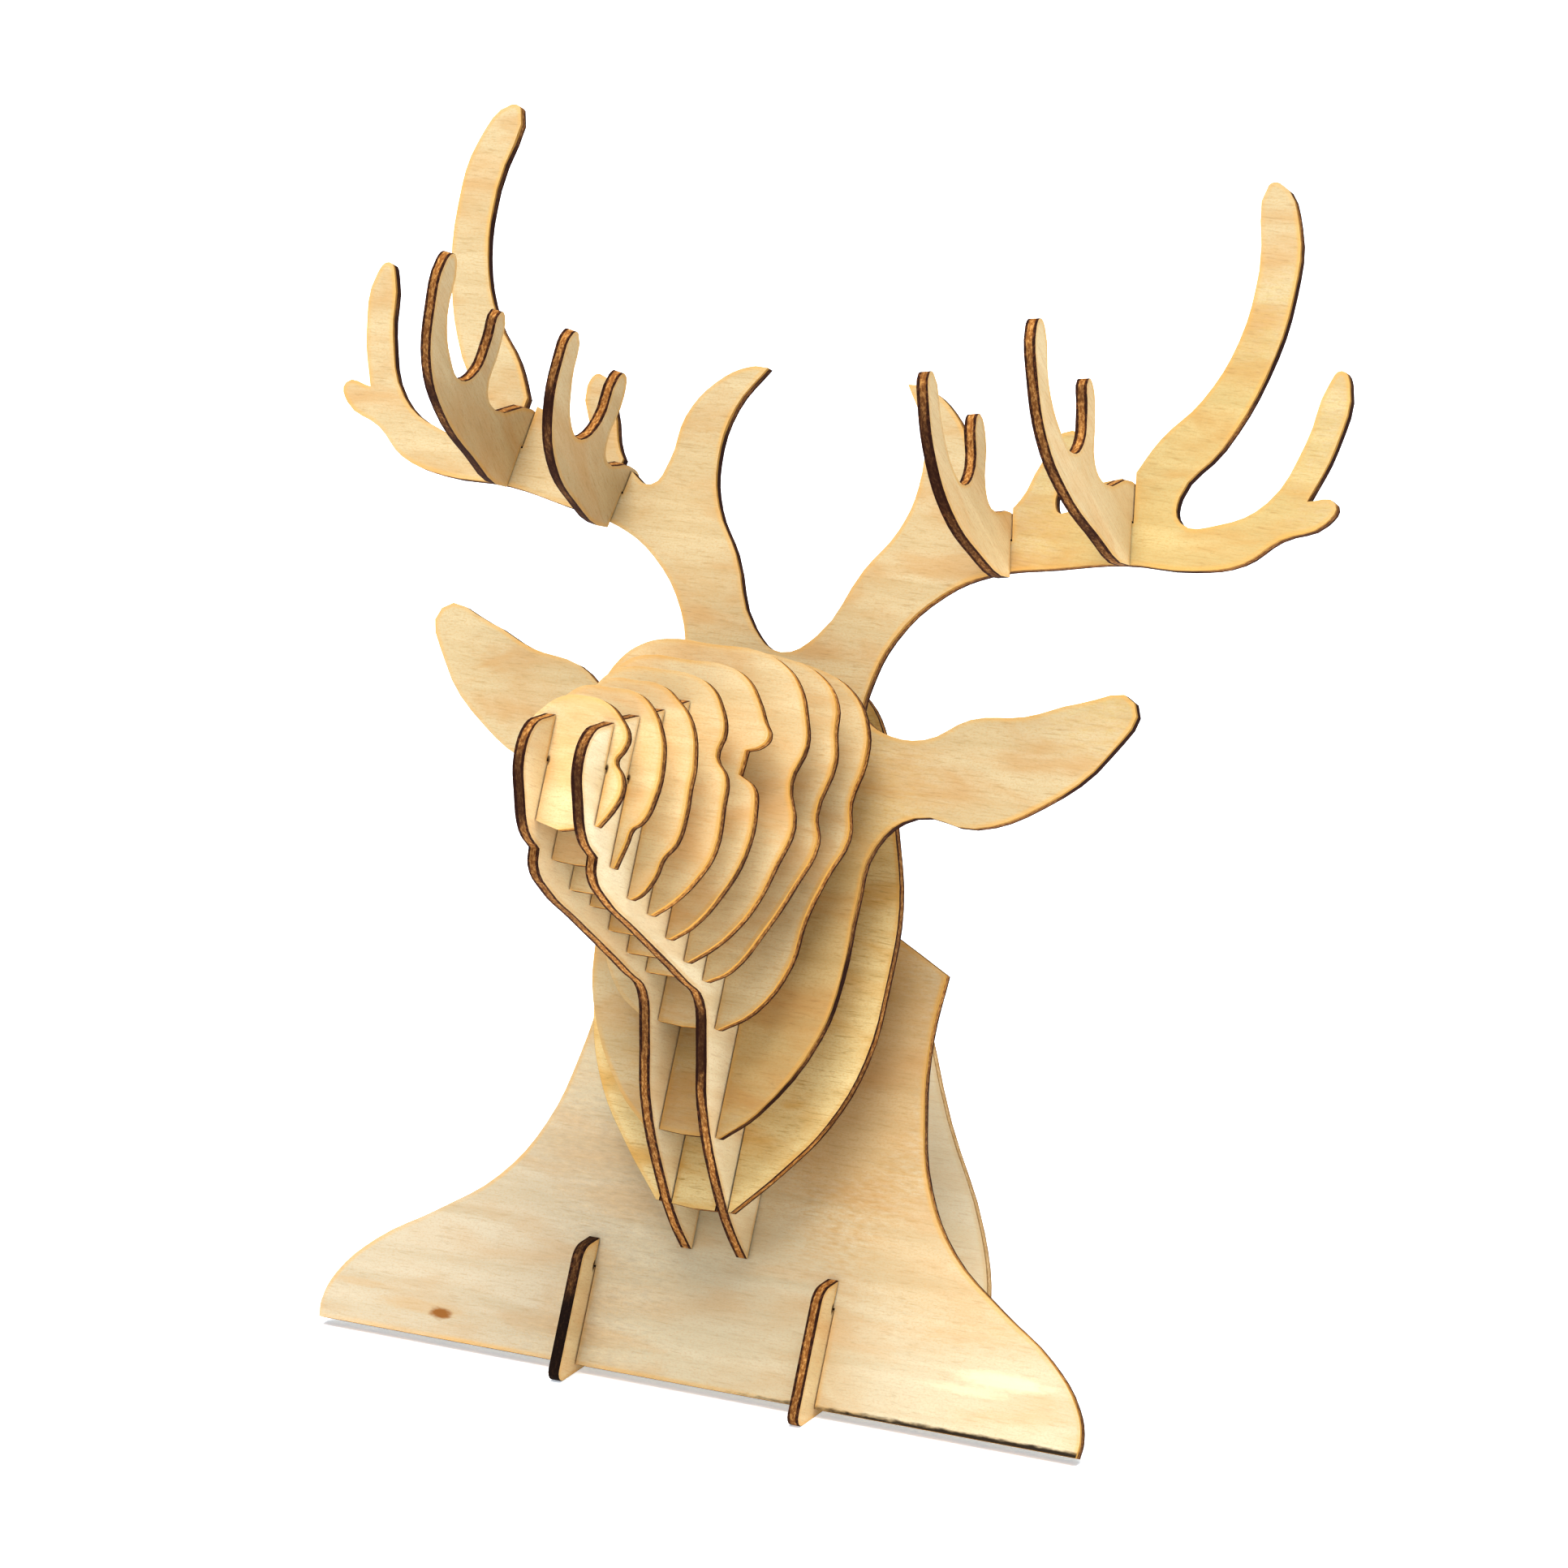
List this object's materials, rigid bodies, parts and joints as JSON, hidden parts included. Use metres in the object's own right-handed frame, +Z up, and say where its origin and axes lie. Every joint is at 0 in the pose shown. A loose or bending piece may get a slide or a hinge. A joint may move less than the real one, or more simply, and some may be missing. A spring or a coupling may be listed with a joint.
{
  "type": "eyeglasses display stand",
  "caption": "Slot-together plywood deer-bust stand whose snout holds eyeglasses, with antlers, a chest plate and foot rails.",
  "frame": {"origin": "middle of the bounding box's base, on the surface that the stand rests on", "axes": "+X to the viewer's right when the deer faces the viewer, +Y to the back, +Z up; the snout points to -Y"},
  "size_m": [0.1852, 0.12, 0.199],
  "materials": {
    "plywood_head": "raw laser-cut basswood plywood, matt, scorched brown edges",
    "plywood_neck": "raw laser-cut basswood plywood, matt, scorched brown edges",
    "plywood_antler": "raw laser-cut basswood plywood, matt, scorched brown edges",
    "plywood_body": "raw laser-cut basswood plywood, matt, scorched brown edges"
  },
  "bodies": {
    "root": {"profile_left": "plywood_head", "profile_right": "plywood_head", "nose_plate": "plywood_head", "nostril_plate": "plywood_head", "muzzle_plate_front": "plywood_head", "muzzle_plate_rear": "plywood_head", "eye_plate": "plywood_head", "brow_plate": "plywood_head", "forehead_plate": "plywood_head", "jaw_plate": "plywood_head", "neck_plate": "plywood_neck", "antler_plate": "plywood_antler", "antler_branch_outer_left": "plywood_antler", "antler_branch_outer_right": "plywood_antler", "antler_branch_inner_left": "plywood_antler", "antler_branch_inner_right": "plywood_antler", "chest_plate": "plywood_body", "back_plate": "plywood_body", "foot_rail_left": "plywood_body", "foot_rail_right": "plywood_body"}
  },
  "joints": []
}
